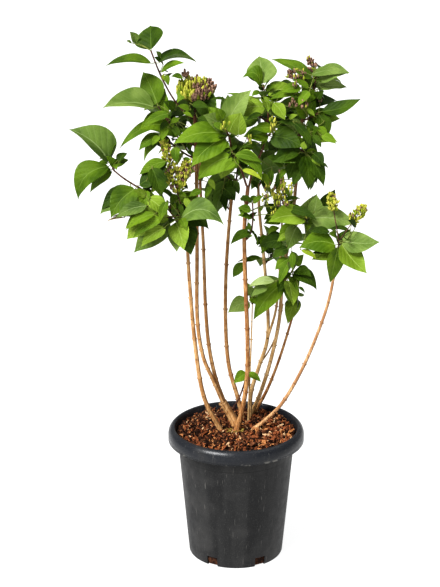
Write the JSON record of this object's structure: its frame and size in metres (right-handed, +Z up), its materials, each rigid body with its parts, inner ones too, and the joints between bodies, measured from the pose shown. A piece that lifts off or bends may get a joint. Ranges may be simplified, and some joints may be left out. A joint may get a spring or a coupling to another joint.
{
  "type": "potted common lilac",
  "caption": "Multi-stemmed lilac shrub with opposite heart-shaped leaves and budding flower clusters, in a tapered black nursery pot with drain slots.",
  "frame": {"origin": "centre of the pot's flat underside", "axes": "+Z up, along the stems; -Y is the front that the picture shows; +X to the right seen from the front"},
  "size_m": [0.704, 0.4104, 1.286],
  "materials": {
    "pot_plastic": "dusty satin",
    "bark_mulch": "rough",
    "stem_bark": "satin",
    "foliage": "satin"
  },
  "bodies": {
    "root": {"pot": "pot_plastic", "soil": "bark_mulch", "stump": "stem_bark", "stem_a": "stem_bark", "stem_b": "stem_bark", "stem_c": "stem_bark", "stem_d": "stem_bark", "stem_e": "stem_bark", "bough_e_left": "stem_bark", "bough_e_right": "stem_bark", "stem_f": "stem_bark", "stem_g": "stem_bark", "bough_g": "stem_bark", "bough_g_low": "stem_bark", "stem_h": "stem_bark", "stem_j": "stem_bark", "stem_k": "stem_bark", "bough_far_left": "stem_bark", "panicle_main": "foliage", "foliage_top_left": "foliage", "foliage_upper_left": "foliage", "foliage_left_inner": "foliage", "panicles_left": "foliage", "foliage_far_left": "foliage", "foliage_left_low": "foliage", "foliage_left_bright": "foliage", "foliage_arching": "foliage", "foliage_centre_left": "foliage", "foliage_centre_low": "foliage", "foliage_top_centre": "foliage", "foliage_centre_right": "foliage", "foliage_d_top": "foliage", "foliage_e_sprig": "foliage", "foliage_e_low": "foliage", "foliage_g_top": "foliage", "foliage_g_low": "foliage", "panicle_centre": "foliage", "foliage_right_low": "foliage", "foliage_j_top": "foliage", "foliage_f_top": "foliage", "foliage_foot": "foliage", "foliage_top_right": "foliage", "foliage_upper_right": "foliage", "foliage_right_side": "foliage", "foliage_right_hanging": "foliage", "foliage_right_mid": "foliage", "foliage_k_top": "foliage", "back_c_top": "foliage", "back_c_side": "foliage", "back_upper_left": "foliage", "back_left": "foliage", "back_d_side": "foliage", "back_d_low": "foliage", "back_e_top": "foliage", "back_g_top": "foliage", "back_h_top": "foliage", "back_h_upper": "foliage", "back_h_mid": "foliage", "back_h_low": "foliage", "back_g_low": "foliage"}
  },
  "joints": []
}
